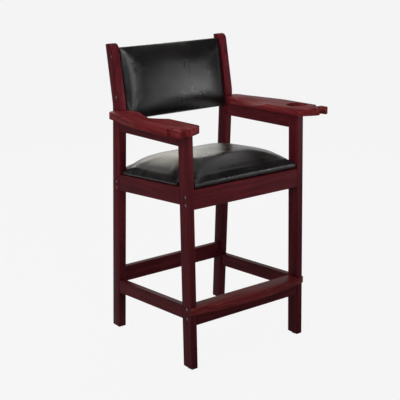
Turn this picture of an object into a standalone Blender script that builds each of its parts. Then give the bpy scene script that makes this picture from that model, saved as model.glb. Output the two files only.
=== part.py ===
# Billiard spectator chair: tall fixed armchair, dark-stained hardwood, padded seat and back.
# Metres, Z up. The chair faces -Y and +X is the sitter's left. Forward distances are measured
# from the rear feet and become -Y under an empty that centres the chair on its footprint.
import math

import bmesh
import bpy
from mathutils import Matrix, Vector

for old in list(bpy.data.objects):
    bpy.data.objects.remove(old, do_unlink=True)

# Fits
GAP = 0.0003            # play between pieces that touch
MERGE = 0.00001         # closes the seams of turned shapes
TURN_SIDES = 8          # facets of small turned pieces and of their holes
OVER = 0.020            # overrun of every cut

# Overall frame
WIDTH = 0.567           # across the outer faces of the legs
DEPTH = 0.5537          # rear foot to front foot at the floor
POST_TOP = 1.180        # rear top edge of the back posts
HALF = WIDTH / 2

# Legs and posts
LEG_T = 0.028           # front leg, sideways
LEG_D = 0.054           # front leg, front to back
LEG_LEAN_SHARE = 0.0322  # front legs lean back as they rise, per height
POST_T = 0.033
POST_D = 0.048
POST_LEAN_SHARE = 0.0425 # rear legs lean forward up to the kink, per height
POST_TOP_D = 0.044      # the post tapers a little towards its top
KINK_Z = 0.945
RAKE = math.radians(10.3)
TOP_ROUND = 0.024       # front corner at the top of a post
KINK_ROUND = 0.110
EDGE = 0.0022           # eased edges of the frame timbers

# Seat frame
RAIL_T = 0.028
RAIL_H = 0.067
SEAT_Z = 0.6645         # top of the side rails carried back to the rear feet
SEAT_RISE_SHARE = 0.0935 # rise towards the front, per forward run
FRONT_RAIL_T = 0.040
FRONT_RAIL_H = 0.074
FRONT_RAIL_DROP = 0.0105 # top of the front rail below the line of the side rails
REAR_RAIL_T = 0.026
REAR_RAIL_SET = 0.009   # rear rail set in from the rear faces of the posts

# Lower frame
STRETCH_T = 0.0275
STRETCH_H = 0.0533
STRETCH_Z = 0.1573      # underside carried back to the rear feet
STRETCH_RISE_SHARE = 0.0799
BACK_STRETCH_T = 0.025
BACK_STRETCH_H = 0.066
BACK_STRETCH_Z = 0.2015
BACK_STRETCH_SET = 0.008

# Tenons glued into the legs
TENON_T = 0.010
TENON_L = 0.014
TENON_SHOULDER = 0.009  # timber left above and below a tenon

# Footrest
FOOT_RAIL_T = 0.044
FOOT_RAIL_BASE = 0.179
FOOT_TOP = 0.253
FOOT_BOARD_H = 0.028
FOOT_BOW = 0.030        # how far the board's middle stands ahead of its ends
FOOT_LIP = 0.0045       # the board's ends stand ahead of the legs
FOOT_OVER = 0.0015      # the board runs past the legs' outer faces
FOOT_EDGE = 0.003
FOOT_SCREW_X = 0.160

# Arms
ARM_RAIL_H = 0.053
ARM_Z = 0.8976          # underside of the arm boards carried back to the rear feet
ARM_RISE_SHARE = 0.0347
ARM_H = 0.028
ARM_IN = 0.237          # inner edge from the centre line
ARM_OUT = 0.366         # outer edge from the centre line
ARM_EDGE = 0.003
ARM_FRONT = 0.582
ARM_NOSE = 0.037        # the inner front corner lies this far behind the front
ARM_NOSE_ROUND = 0.024
ARM_SWEEP_X = 0.055
ARM_SWEEP_SET = 0.007
ARM_SWEEP_ROUND = 0.075
ARM_CORNER = 0.014
ARM_BEND_F = 0.315      # the outer edge starts to draw in
ARM_BEND_ROUND = 0.150
ARM_HIP_X = 0.330
ARM_HIP_F = 0.120
ARM_HIP_ROUND = 0.060
ARM_TAIL_X = 0.324
ARM_TAIL_F = 0.060
ARM_TAIL_ROUND = 0.030
ARM_HEEL = 0.045        # eased inner rear corner
CUE_W = 0.026           # cue notches, one open to the side and one to the front
CUE_D = 0.025
CUE_LIP = 0.005
CUE_END_SHARE = 0.985   # of half the notch's width
CUE_SIDE_BACK = 0.058   # behind the front of the arm
CUE_FRONT_X = 0.333
CUP_R = 0.0425
CUP_X = 0.3145
CUP_BACK = 0.127        # behind the front of the arm
CUP_DEPTH = 0.014
CUP_SIDES = 36
SCOOP_F = 0.246         # hollow in the inner edge for the forearm
SCOOP_LEN = 0.205
SCOOP_DEPTH = 0.017
SCOOP_WIDE = 0.052
SCOOP_SIDES = 128       # facets of the whole circle, of which the hollow shows a few

# Seat upholstery
SEAT_INSET = 0.002      # from the outer faces of the rails
SEAT_CLEAR = 0.002      # tongues of the cushion to legs and posts
SEAT_STEP = 0.020       # its side edges stop short of legs and posts
SEAT_REAR = 0.034
SEAT_BOARD_H = 0.012
SEAT_WRAP = 0.005       # cover folded down round the board
SEAT_TUCK = 0.0015      # sides drawn in at the fold
SEAT_BORDER = 0.013     # least cover over the seat board
SEAT_CROWN = 0.064
SEAT_SHOULDER = 0.145   # the crown is full this far from the border
SEAT_WELT = 0.012       # front roll, before the first station of the crown
SEAT_FULLNESS = 2.4     # how boxy the crown is
CORNER_BLEND = 8        # a higher power keeps the crown fuller in the corners
DUST_H = 0.001
DUST_CLEAR = 0.004

# Back upholstery
BACK_LOW = 0.064        # bottom edge, below the kink along the post
BACK_HIGH = 0.222       # top edge, above the kink
BACK_SIDE = 0.003       # cushion to posts
BACK_BOARD_IN = 0.020   # from the rear faces of the posts
BACK_BOARD_H = 0.018
BACK_FACE = 0.039       # border of the crowned face, from the rear faces of the posts
BACK_CROWN = 0.023
BACK_SHOULDER = 0.055
BACK_WRAP = 0.004
BACK_SHELL = 0.012      # rear face of the upholstery
BACK_FULLNESS = 2.6
SEAT_CROWD = 1.2        # how much the mesh tightens near a cushion's border
BACK_CROWD = 1.5

# Corner blocks
BLOCK_LEG = 0.070
BLOCK_H = 0.040
BLOCK_TIP = 0.012
BLOCK_SCREW_SHARE = 0.36 # of a block's leg, from its corner

# Hardware
BOLT_R = 0.003
BOLT_HEAD_R = 0.0065
BOLT_HEAD_H = 0.0025
HEAD_RIM_SHARE = 0.6    # height of the head's rounded rim
BOLT_SINK_R = 0.0080
BOLT_SINK = 0.0045      # underside of the head below the leg's face
BOLT_L = 0.060
NUT_R = 0.005
NUT_L = 0.016
NUT_BACK = 0.009        # from the bolt's tip to the nut's axis
INSERT_L = 0.018
SEAT_BOLT_PITCH = 0.030
SEAT_BOLT_DROP = 0.0045  # front bolts sit a little below the rail's middle
REAR_BOLT_PITCH = 0.024
REAR_BOLT_SHARE = 0.36  # of the rear rail's height
FOOT_BOLT_SHARE = 0.36  # of the footrest rail's thickness
BACK_BOLT_LOW = 0.031
BACK_BOLT_HIGH = 0.188
SCREW_R = 0.0021
SCREW_HEAD_R = 0.0042
SCREW_HEAD_H = 0.0026
SCREW_POINT = 0.003
SCREW_SINK = 0.0012
SEAT_BITE = 0.0075
ARM_THROUGH = 0.022
ARM_BITE = 0.014
ARM_SCREW_REAR = 0.130
ARM_SCREW_FRONT = 0.400
FOOT_THROUGH = 0.020
FOOT_BITE = 0.018
GLIDE_R = 0.0105
GLIDE_H = 0.004
GLIDE_ROUND = 0.001
GLIDE_PIN_R = 0.0016
GLIDE_PIN = 0.014

parts = bpy.data.collections.new("billiard_spectator_chair")
bpy.context.scene.collection.children.link(parts)
cutters = bpy.data.collections.new("cutters")
bpy.context.scene.collection.children.link(cutters)
chair = bpy.data.objects.new("chair_origin", None)
parts.objects.link(chair)
cuts = {}
SIDES = ((1, "left"), (-1, "right"))


def paint(name, rgb, rough, metal=0.0):
    m = bpy.data.materials.new(name)
    m.use_nodes = True
    p = m.node_tree.nodes["Principled BSDF"]
    p.inputs["Base Color"].default_value = (*rgb, 1)
    p.inputs["Roughness"].default_value = rough
    p.inputs["Metallic"].default_value = metal
    return m


MAHOGANY = ((0.16, 0.022, 0.026), 0.32)
PALE_WOOD = ((0.55, 0.38, 0.22), 0.6)
PLYWOOD = ((0.60, 0.45, 0.28), 0.65)
LEATHERETTE = ((0.012, 0.012, 0.013), 0.38)
CLOTH = ((0.02, 0.02, 0.02), 0.95)
NYLON = ((0.03, 0.03, 0.03), 0.5)
STEEL = ((0.55, 0.56, 0.58), 0.3, 1.0)


def add(name, mesh, look):
    ob = bpy.data.objects.new(name, mesh)
    parts.objects.link(ob)
    ob.parent = chair
    if not mesh.materials:
        mesh.materials.append(paint(name + "_finish", *look))
    return ob


def face_out(bm):
    """Turns every face outwards on one closed body."""
    bmesh.ops.recalc_face_normals(bm, faces=bm.faces)
    if bm.calc_volume(signed=True) < 0:
        bmesh.ops.reverse_faces(bm, faces=bm.faces)


def ease(ob, width=EDGE, segments=2):
    b = ob.modifiers.new("ease", "BEVEL")
    b.width = width
    b.segments = segments
    b.limit_method = "ANGLE"
    b.angle_limit = math.radians(38)
    return ob


def flat(outline, thick, place):
    """Closed 2D outline with thickness, as a mesh moved by a matrix."""
    curve = bpy.data.curves.new("outline", "CURVE")
    curve.dimensions = "2D"
    curve.fill_mode = "BOTH"
    curve.extrude = thick / 2
    line = curve.splines.new("POLY")
    line.points.add(len(outline) - 1)
    for point, (a, b) in zip(line.points, outline):
        point.co = (a, b, 0, 1)
    line.use_cyclic_u = True
    ob = bpy.data.objects.new("outline", curve)
    bpy.context.scene.collection.objects.link(ob)
    mesh = bpy.data.meshes.new_from_object(ob.evaluated_get(bpy.context.evaluated_depsgraph_get()))
    bpy.data.objects.remove(ob, do_unlink=True)
    bm = bmesh.new()
    bm.from_mesh(mesh)
    bmesh.ops.remove_doubles(bm, verts=bm.verts, dist=MERGE)
    bmesh.ops.dissolve_limit(bm, angle_limit=math.radians(0.5), verts=bm.verts, edges=bm.edges)
    bm.transform(place)
    face_out(bm)
    bm.to_mesh(mesh)
    bm.free()
    mesh.materials.clear()
    return mesh


def profile_x(outline, x0, x1):
    """Outline of (forward, z) points, as thick as the run from x0 to x1."""
    stand = Matrix(((0, 0, 1, (x0 + x1) / 2), (-1, 0, 0, 0), (0, 1, 0, 0), (0, 0, 0, 1)))
    return flat(outline, abs(x1 - x0), stand)


def plan(outline, under, thick, slope=0.0, side=1):
    """Outline of (x, forward) points, laid level and then sheared up with the slope."""
    lay = Matrix(((side, 0, 0, 0), (0, -1, 0, 0), (0, slope, 1, under + thick / 2), (0, 0, 0, 1)))
    return flat(outline, thick, lay)


def turned(name, profile):
    """Mesh of a turned piece along +Z from (radius, height) points, lowest first."""
    mesh = bpy.data.meshes.new(name)
    rising = [(r, 0, z) for r, z in profile]
    mesh.from_pydata(rising[::-1], [(k, k + 1) for k in range(len(rising) - 1)], [])
    ob = bpy.data.objects.new(name, mesh)
    bpy.context.scene.collection.objects.link(ob)
    spin = ob.modifiers.new("turn", "SCREW")
    spin.steps = spin.render_steps = TURN_SIDES
    spin.use_merge_vertices = True
    spin.merge_threshold = MERGE
    return ob


def settled(ob):
    """The evaluated mesh of a helper object, which is then removed."""
    mesh = bpy.data.meshes.new_from_object(ob.evaluated_get(bpy.context.evaluated_depsgraph_get()))
    bpy.data.objects.remove(ob, do_unlink=True)
    bm = bmesh.new()
    bm.from_mesh(mesh)
    bmesh.ops.remove_doubles(bm, verts=bm.verts, dist=MERGE)
    face_out(bm)
    bm.to_mesh(mesh)
    bm.free()
    return mesh


def bore(target, at, along, start, end, radius, sides=TURN_SIDES):
    """Adds a cylinder to the target's cutter, from start to end along a direction."""
    bm = cuts.setdefault(target, bmesh.new())
    turn = Vector(along).to_track_quat("Z", "Y").to_matrix().to_4x4()
    mid = Vector(at) + Vector(along).normalized() * (start + end) / 2
    bmesh.ops.create_cone(bm, cap_ends=True, segments=sides, radius1=radius, radius2=radius,
                          depth=end - start, matrix=Matrix.Translation(mid) @ turn)


def cut_mesh(target, mesh):
    cuts.setdefault(target, bmesh.new()).from_mesh(mesh)


def rounded(points):
    """Polygon of (a, b, radius) corners; each rounded corner becomes a short run of points."""
    out = []
    for k, (x, y, r) in enumerate(points):
        p = Vector((x, y))
        if r <= 0:
            out.append((x, y))
            continue
        d0 = Vector(points[k - 1][:2]) - p
        d1 = Vector(points[(k + 1) % len(points)][:2]) - p
        half = d0.angle(d1) / 2
        t0, t1 = (p + d.normalized() * r / math.tan(half) for d in (d0, d1))
        c = p + (d0.normalized() + d1.normalized()).normalized() * r / math.sin(half)
        a0 = math.atan2(t0.y - c.y, t0.x - c.x)
        turn = (math.atan2(t1.y - c.y, t1.x - c.x) - a0 + math.pi) % (2 * math.pi) - math.pi
        steps = max(2, round(abs(turn) / math.radians(19)))
        out += [(c.x + r * math.cos(a0 + turn * i / steps), c.y + r * math.sin(a0 + turn * i / steps))
                for i in range(steps + 1)]
    return out


# Lines of the frame: each face's forward distance at a height, each slope's height at a distance
def leg_front(z):
    return DEPTH - LEG_LEAN_SHARE * z


def leg_back(z):
    return leg_front(z) - LEG_D


def post_back(z):
    return POST_LEAN_SHARE * z


def post_front(z):
    return POST_D + POST_LEAN_SHARE * z


def seat_line(f):
    return SEAT_Z + SEAT_RISE_SHARE * f


def arm_line(f):
    return ARM_Z + ARM_RISE_SHARE * f


def arm_rail_line(f):
    return arm_line(f) - GAP


def stretch_line(f):
    return STRETCH_Z + STRETCH_RISE_SHARE * f


def meet(line, face, play, lift=0.0):
    """Where a sloping line, raised by `lift`, reaches a leg's face, less the play."""
    f = face(0) + play
    for _ in range(6):
        f = face(line(f) + lift) + play
    return f, line(f) + lift


front_face = meet(seat_line, leg_front, 0)
front_rail_top = front_face[1] - FRONT_RAIL_DROP
front_rail_base = front_rail_top - FRONT_RAIL_H
KINK_F = post_back(KINK_Z)
POST_LEN = (POST_TOP - KINK_Z) / math.cos(RAKE)


def back_place(v, w):
    """From (along the post above the kink, ahead of its rear face) to (forward, z)."""
    return (KINK_F - v * math.sin(RAKE) + w * math.cos(RAKE),
            KINK_Z + v * math.cos(RAKE) + w * math.sin(RAKE))


# The footrest's plan comes first: its bow is the front of the whole chair
foot_board_z = FOOT_TOP - FOOT_BOARD_H
foot_rail_top = foot_board_z - GAP
foot_back = leg_front(foot_rail_top) - FOOT_RAIL_T
lap = leg_front(foot_board_z) + GAP
front_most = max(lap + FOOT_LIP + FOOT_BOW, ARM_FRONT)
rear_most = min(post_back(GLIDE_H), back_place(POST_LEN, 0)[0])
chair.location.y = (front_most + rear_most) / 2

# Front legs, cut along the underside of the arms
foot_z = GLIDE_H + GAP
for side, word in SIDES:
    outline = [(leg_back(foot_z), foot_z), (leg_front(foot_z), foot_z),
               meet(arm_rail_line, leg_front, 0), meet(arm_rail_line, leg_back, 0)]
    ease(add("front_leg_" + word, profile_x(outline, side * (HALF - LEG_T), side * HALF), MAHOGANY))

# Rear posts: leg, kink and raked upper part in one piece
kink_front = POST_D * math.tan((RAKE + math.atan(POST_LEAN_SHARE)) / 2)
for side, word in SIDES:
    outline = rounded([(post_back(foot_z), foot_z, 0), (KINK_F, KINK_Z, KINK_ROUND),
                       (*back_place(POST_LEN, 0), 0), (*back_place(POST_LEN, POST_TOP_D), TOP_ROUND),
                       (post_front(KINK_Z + kink_front), KINK_Z + kink_front, KINK_ROUND),
                       (post_front(foot_z), foot_z, 0)])
    ease(add("rear_post_" + word, profile_x(outline, side * (HALF - POST_T), side * HALF), MAHOGANY))


def tenoned(low, high, tenon_low, tenon_high, x0, x1, line, tenon_x, hosts, name):
    """Rail between a leg and a post with a tenon at each end, and its mortises in both hosts."""
    body = [meet(line, post_front, GAP, low), meet(line, leg_back, -GAP, low),
            meet(line, leg_back, -GAP, high), meet(line, post_front, GAP, high)]
    rail = ease(add(name, profile_x(body, x0, x1), MAHOGANY), EDGE, 1)
    for grow, ends in ((0.0, name), (GAP, hosts)):
        bar = [meet(line, post_front, -TENON_L - grow, tenon_low - grow),
               meet(line, leg_back, TENON_L + grow, tenon_low - grow),
               meet(line, leg_back, TENON_L + grow, tenon_high + grow),
               meet(line, post_front, -TENON_L - grow, tenon_high + grow)]
        mesh = profile_x(bar, tenon_x - TENON_T / 2 - grow, tenon_x + TENON_T / 2 + grow)
        if ends == name:
            core = bpy.data.objects.new(name + "_tenons", mesh)
            cutters.objects.link(core)
            core.parent = chair
            core.hide_render = True
            core.display_type = "WIRE"
            join = rail.modifiers.new("tenons", "BOOLEAN")
            join.operation = "UNION"
            join.solver = "EXACT"
            join.object = core
        else:
            for host in hosts:
                cut_mesh(host, mesh)
    return rail


# Side frames: seat rail, stretcher and arm rail between each leg and post, flush outside
for side, word in SIDES:
    hosts = ("front_leg_" + word, "rear_post_" + word)
    for name, line, low, high, thick in (
            ("seat_rail_", seat_line, -RAIL_H, 0.0, RAIL_T),
            ("stretcher_", stretch_line, 0.0, STRETCH_H, STRETCH_T),
            ("arm_rail_", arm_rail_line, -ARM_RAIL_H, 0.0, RAIL_T)):
        x0, x1 = sorted((side * (HALF - thick), side * HALF))
        tenoned(low, high, low + TENON_SHOULDER, high - TENON_SHOULDER, x0, x1, line,
                side * (HALF - thick / 2), hosts, name + word)


def cross_timber(name, outline, wall):
    span = HALF - wall - GAP
    return ease(add(name, profile_x(outline, -span, span), MAHOGANY), EDGE, 1)


# Cross timbers between the side frames
low_f, top_f = leg_front(front_rail_base), leg_front(front_rail_top)
cross_timber("seat_rail_front", [
    (low_f - FRONT_RAIL_T, front_rail_base), (low_f, front_rail_base),
    (top_f, front_rail_top), (top_f - FRONT_RAIL_T, front_rail_top)], LEG_T)
rear_f = post_back(SEAT_Z) + REAR_RAIL_SET
rear_g = rear_f + REAR_RAIL_T
rear_base = seat_line(rear_f) - RAIL_H
cross_timber("seat_rail_rear", [(rear_f, rear_base), (rear_g, rear_base),
                                (rear_g, seat_line(rear_g)), (rear_f, seat_line(rear_f))], POST_T)
bs_high = BACK_STRETCH_Z + BACK_STRETCH_H
bs_outline = [(post_front(z) - BACK_STRETCH_SET - d, z) for z, d in (
    (BACK_STRETCH_Z, BACK_STRETCH_T), (BACK_STRETCH_Z, 0), (bs_high, 0), (bs_high, BACK_STRETCH_T))]
stretcher_rear = cross_timber("stretcher_rear", bs_outline, POST_T)
bs_mid_z = (BACK_STRETCH_Z + bs_high) / 2
bs_mid_f = post_front(bs_mid_z) - BACK_STRETCH_SET - BACK_STRETCH_T / 2
for grow in (0.0, GAP):
    reach = HALF - POST_T + TENON_L + grow
    up, deep = BACK_STRETCH_H / 2 - TENON_SHOULDER + grow, TENON_T / 2 + grow
    bar = profile_x([(bs_mid_f - deep, bs_mid_z - up), (bs_mid_f + deep, bs_mid_z - up),
                     (bs_mid_f + deep, bs_mid_z + up), (bs_mid_f - deep, bs_mid_z + up)], -reach, reach)
    if grow:
        for _, word in SIDES:
            cut_mesh("rear_post_" + word, bar)
    else:
        core = bpy.data.objects.new("stretcher_rear_tenons", bar)
        cutters.objects.link(core)
        core.parent = chair
        core.hide_render = True
        core.display_type = "WIRE"
        join = stretcher_rear.modifiers.new("tenons", "BOOLEAN")
        join.operation = "UNION"
        join.solver = "EXACT"
        join.object = core

# Footrest: rail between the legs, bowed board on top that laps in front of them
cross_timber("footrest_rail", [
    (foot_back, FOOT_RAIL_BASE), (leg_front(FOOT_RAIL_BASE), FOOT_RAIL_BASE),
    (leg_front(foot_rail_top), foot_rail_top), (foot_back, foot_rail_top)], LEG_T)
inner = HALF - LEG_T - GAP
outer = HALF + FOOT_OVER
bow = [(outer * t, lap + FOOT_LIP + FOOT_BOW * (1 - t * t)) for t in (1 - 2 * k / 14 for k in range(15))]
board_plan = [(inner, foot_back), (inner, lap), (outer, lap)] + bow + [
    (-outer, lap), (-inner, lap), (-inner, foot_back)]
ease(add("footrest_board", plan(board_plan, foot_board_z, FOOT_BOARD_H), MAHOGANY), FOOT_EDGE)

# Arms: paddle boards notched round the posts, with two cue notches at the outer front corner
h, end = CUE_W / 2, CUE_W / 2 * CUE_END_SHARE
cue_f, cup_f = ARM_FRONT - CUE_SIDE_BACK, ARM_FRONT - CUP_BACK
tail = post_front(arm_line(POST_D) + ARM_H) + GAP
arm_plan = rounded([
    (HALF - POST_T, tail, 0), (ARM_IN, tail + ARM_HEEL, ARM_HEEL),
    (ARM_IN, ARM_FRONT - ARM_NOSE, ARM_NOSE_ROUND),
    (ARM_IN + ARM_SWEEP_X, ARM_FRONT - ARM_SWEEP_SET, ARM_SWEEP_ROUND),
    (CUE_FRONT_X - h, ARM_FRONT, CUE_LIP), (CUE_FRONT_X - h, ARM_FRONT - CUE_D, end),
    (CUE_FRONT_X + h, ARM_FRONT - CUE_D, end), (CUE_FRONT_X + h, ARM_FRONT, CUE_LIP),
    (ARM_OUT, ARM_FRONT, ARM_CORNER),
    (ARM_OUT, cue_f + h, CUE_LIP), (ARM_OUT - CUE_D, cue_f + h, end),
    (ARM_OUT - CUE_D, cue_f - h, end), (ARM_OUT, cue_f - h, CUE_LIP),
    (ARM_OUT, ARM_BEND_F, ARM_BEND_ROUND), (ARM_HIP_X, ARM_HIP_F, ARM_HIP_ROUND),
    (ARM_TAIL_X, ARM_TAIL_F, ARM_TAIL_ROUND), (HALF + GAP, ARM_TAIL_F, 0), (HALF + GAP, tail, 0)])
scoop_r = (SCOOP_LEN ** 2 / 4 + SCOOP_DEPTH ** 2) / (2 * SCOOP_DEPTH)
tilt = math.atan(SCOOP_DEPTH / SCOOP_WIDE)
for side, word in SIDES:
    ease(add("arm_" + word, plan(arm_plan, ARM_Z, ARM_H, ARM_RISE_SHARE, side), MAHOGANY), ARM_EDGE)
    low = Vector((side * ARM_IN, -SCOOP_F, arm_line(SCOOP_F) + ARM_H - SCOOP_DEPTH))
    along = Vector((side * math.cos(tilt), 0, math.sin(tilt)))
    up = Vector((-side * math.sin(tilt), 0, math.cos(tilt)))
    bore("arm_" + word, low + up * scoop_r, along, -OVER, SCOOP_WIDE + OVER, scoop_r, SCOOP_SIDES)
bore("arm_left", (CUP_X, -cup_f, arm_line(cup_f) + ARM_H), (0, 0, 1), -CUP_DEPTH, OVER, CUP_R, CUP_SIDES)

# Seat: cushion over the rails with tongues between the legs and between the posts
step_r = post_front(seat_line(POST_D)) + SEAT_STEP
step_f = leg_back(seat_line(DEPTH)) - SEAT_STEP
seat_f = leg_front(front_rail_top) - SEAT_INSET
wide = HALF - SEAT_INSET
tongue_f, tongue_r = HALF - LEG_T - SEAT_CLEAR, HALF - POST_T - SEAT_CLEAR


def seat_plan(inset):
    right = [(tongue_r - inset, SEAT_REAR + inset), (tongue_r - inset, step_r + inset),
             (wide - inset, step_r + inset), (wide - inset, step_f - inset),
             (tongue_f - inset, step_f - inset), (tongue_f - inset, seat_f - inset)]
    return right + [(-x, f) for x, f in right[::-1]]


def rise(gaps, shoulder, power):
    """0 at a border, 1 over the middle; near borders add up smoothly in the corners."""
    short = sum(max(0.0, 1 - g / shoulder) ** CORNER_BLEND for g in gaps) ** (1 / CORNER_BLEND)
    return 1 - min(1.0, short) ** power


def seat_rise(x, f):
    a = abs(x)
    return rise((wide - a, seat_f - f, f - SEAT_REAR, math.hypot(max(0, tongue_f - a), max(0, step_f - f)),
                 math.hypot(max(0, tongue_r - a), max(0, f - step_r))), SEAT_SHOULDER, SEAT_FULLNESS)


def stations(a, b, count, crowd=SEAT_CROWD):
    """Places from a to b, closer together near both ends."""
    turns = (2 * k / count - 1 for k in range(count + 1))
    return [(a + b) / 2 + (b - a) / 2 * math.copysign(1 - (1 - abs(t)) ** crowd, t) for t in turns]


def cushion(us, vs, keep, over, under, drawn):
    """Closed cushion from a grid: crowned top, flat underside, border widest at mid height."""
    bm = bmesh.new()
    bmesh.ops.create_grid(bm, x_segments=len(us) - 1, y_segments=len(vs) - 1, size=1)
    for v in bm.verts:
        i, j = (round((c + 1) / 2 * (len(s) - 1)) for c, s in zip(v.co.xy, (us, vs)))
        v.co = (us[i], vs[j], -1)
    outside = [f for f in bm.faces if not keep(*f.calc_center_median().xy)]
    bmesh.ops.delete(bm, geom=outside, context="FACES")
    made = bmesh.ops.extrude_face_region(bm, geom=list(bm.faces), use_keep_orig=True)["geom"]
    for v in made:
        if isinstance(v, bmesh.types.BMVert):
            v.co.z = 1
    border = [e for e in bm.edges if e.verts[0].co.z != e.verts[1].co.z]
    bmesh.ops.subdivide_edges(bm, edges=border, cuts=1, use_grid_fill=True)
    for v in bm.verts:
        a, b, level = v.co
        if level > 0.5:
            v.co = over(*drawn(a, b), a, b)
        elif level < -0.5:
            v.co = under(*drawn(a, b), a, b)
        else:
            v.co = (Vector(over(a, b, a, b)) + Vector(under(a, b, a, b))) / 2
    face_out(bm)
    mesh = bpy.data.meshes.new("cushion")
    bm.to_mesh(mesh)
    bm.free()
    mesh.shade_smooth()
    mesh.set_sharp_from_angle(angle=math.radians(50))
    return mesh


def seat_in(x, f):
    a = abs(x)
    return a < (tongue_r if f < step_r else tongue_f if f > step_f else wide)


def seat_drawn(x, f):
    """The plan point with the border drawn in by the tuck."""
    a, b = abs(x), f
    if a > wide - MERGE:
        a -= SEAT_TUCK
    if f > seat_f - MERGE:
        b -= SEAT_TUCK
    if f < SEAT_REAR + MERGE:
        b += SEAT_TUCK
    for tongue, step, way in ((tongue_f, step_f, 1), (tongue_r, step_r, -1)):
        past = way * (f - step)
        if past > -MERGE and abs(x) > tongue - MERGE:
            if past < MERGE:
                b -= way * SEAT_TUCK
            if abs(x) < tongue + MERGE:
                a -= SEAT_TUCK
    return math.copysign(a, x), b


def seat_over(x, f, x0, f0):
    return x, -f, seat_line(f) + SEAT_BORDER + SEAT_CROWN * seat_rise(x0, f0)


def seat_under(x, f, x0, f0):
    front = f0 > seat_f - MERGE
    return x, -f, (front_rail_top if front else seat_line(f)) + GAP


us = sorted({s * x for x in (wide, tongue_f, tongue_r) for s in (1, -1)}
            | set(stations(-tongue_r, tongue_r, 20)[1:-1]))
vs = [SEAT_REAR] + stations(step_r, step_f, 17) + [(step_f + seat_f) / 2, seat_f - SEAT_WELT, seat_f]
add("seat_cushion", cushion(us, vs, seat_in, seat_over, seat_under, seat_drawn), LEATHERETTE)
hollow = SEAT_BOARD_H + OVER + GAP + GAP
cut_mesh("seat_cushion", plan(seat_plan(SEAT_WRAP), SEAT_Z - OVER, hollow, SEAT_RISE_SHARE))
add("seat_board", plan(seat_plan(SEAT_WRAP + GAP), SEAT_Z + GAP, SEAT_BOARD_H, SEAT_RISE_SHARE), PLYWOOD)

# Dust cover under the board, cut back round the corner blocks
block_f = leg_front(front_rail_top) - FRONT_RAIL_T - GAP
dx, d0, d1 = HALF - POST_T - DUST_CLEAR, rear_g + DUST_CLEAR, block_f - DUST_CLEAR
nip = BLOCK_LEG + BLOCK_TIP
cover = [(dx - nip, d0), (dx, d0 + nip), (dx, d1 - nip), (dx - nip, d1),
         (nip - dx, d1), (-dx, d1 - nip), (-dx, d0 + nip), (nip - dx, d0)]
add("dust_cover", plan(cover, SEAT_Z - DUST_H, DUST_H, SEAT_RISE_SHARE), CLOTH)


def screw_mesh(name, length):
    return settled(turned(name, [(0, 0), (SCREW_HEAD_R, 0), (SCREW_HEAD_R, SCREW_HEAD_H / 2),
                                 (SCREW_R, SCREW_HEAD_H), (SCREW_R, length - SCREW_POINT), (0, length)]))


def screw(name, mesh, length, at, hosts):
    """Screw driven upwards from `at`, with its hole and head recess in every host."""
    ob = add(name, mesh, STEEL)
    ob.location = at
    for host in hosts:
        bore(host, at, (0, 0, 1), -OVER - OVER - OVER, SCREW_HEAD_H + GAP, SCREW_HEAD_R + GAP)
        bore(host, at, (0, 0, 1), 0, length + GAP, SCREW_R + GAP)


# Corner blocks under the seat, each with the screw that holds the board down
seat_len = BLOCK_H + SEAT_BITE
seat_screw = screw_mesh("seat_screw", seat_len)
for side, word in SIDES:
    for where, f_wall, way, wall in (("front", block_f, -1, LEG_T), ("rear", rear_g + GAP, 1, POST_T)):
        x_wall = HALF - wall - GAP
        shape = [(x_wall, f_wall), (x_wall - BLOCK_LEG, f_wall),
                 (x_wall - BLOCK_LEG, f_wall + way * BLOCK_TIP),
                 (x_wall - BLOCK_TIP, f_wall + way * BLOCK_LEG), (x_wall, f_wall + way * BLOCK_LEG)]
        name = "corner_block_%s_%s" % (where, word)
        add(name, plan(shape, SEAT_Z - BLOCK_H, BLOCK_H, SEAT_RISE_SHARE, side), PALE_WOOD)
        x, f = x_wall - BLOCK_LEG * BLOCK_SCREW_SHARE, f_wall + way * BLOCK_LEG * BLOCK_SCREW_SHARE
        at = (side * x, -f, seat_line(f) - BLOCK_H + SCREW_SINK)
        screw("seat_screw_%s_%s" % (where, word), seat_screw, seat_len, at, (name, "seat_board"))

# Back: plywood board and rear shell inside a cushion that wraps round their edges
back_half = HALF - POST_T - BACK_SIDE


def back_point(x, v, w):
    f, z = back_place(v, w)
    return x, -f, z


def back_over(x, v, x0, v0):
    gaps = (back_half - abs(x0), v0 + BACK_LOW, BACK_HIGH - v0)
    return back_point(x, v, BACK_FACE + BACK_CROWN * rise(gaps, BACK_SHOULDER, BACK_FULLNESS))


def back_under(x, v, x0, v0):
    return back_point(x, v, BACK_SHELL)


def back_drawn(x, v):
    a = abs(x) - (SEAT_TUCK if abs(x) > back_half - MERGE else 0)
    b = v - (SEAT_TUCK if v > BACK_HIGH - MERGE else 0) + (SEAT_TUCK if v < MERGE - BACK_LOW else 0)
    return math.copysign(a, x), b


def back_block(inset, w0, w1):
    x, v0, v1 = back_half - inset, inset - BACK_LOW, BACK_HIGH - inset
    corners = [back_place(v0, w0), back_place(v1, w0), back_place(v1, w1), back_place(v0, w1)]
    return profile_x(corners, -x, x)


us = stations(-back_half, back_half, 20, BACK_CROWD)
vs = stations(-BACK_LOW, BACK_HIGH, 14, BACK_CROWD)
add("back_cushion", cushion(us, vs, lambda x, v: True, back_over, back_under, back_drawn), LEATHERETTE)
board_w = BACK_BOARD_IN + BACK_BOARD_H
cut_mesh("back_cushion", back_block(BACK_WRAP, BACK_SHELL - OVER, board_w + GAP))
add("back_board", back_block(BACK_WRAP + GAP, BACK_BOARD_IN, board_w), PLYWOOD)
ease(add("back_shell", back_block(BACK_WRAP + GAP, BACK_SHELL, BACK_BOARD_IN - GAP), LEATHERETTE), EDGE)

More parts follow.
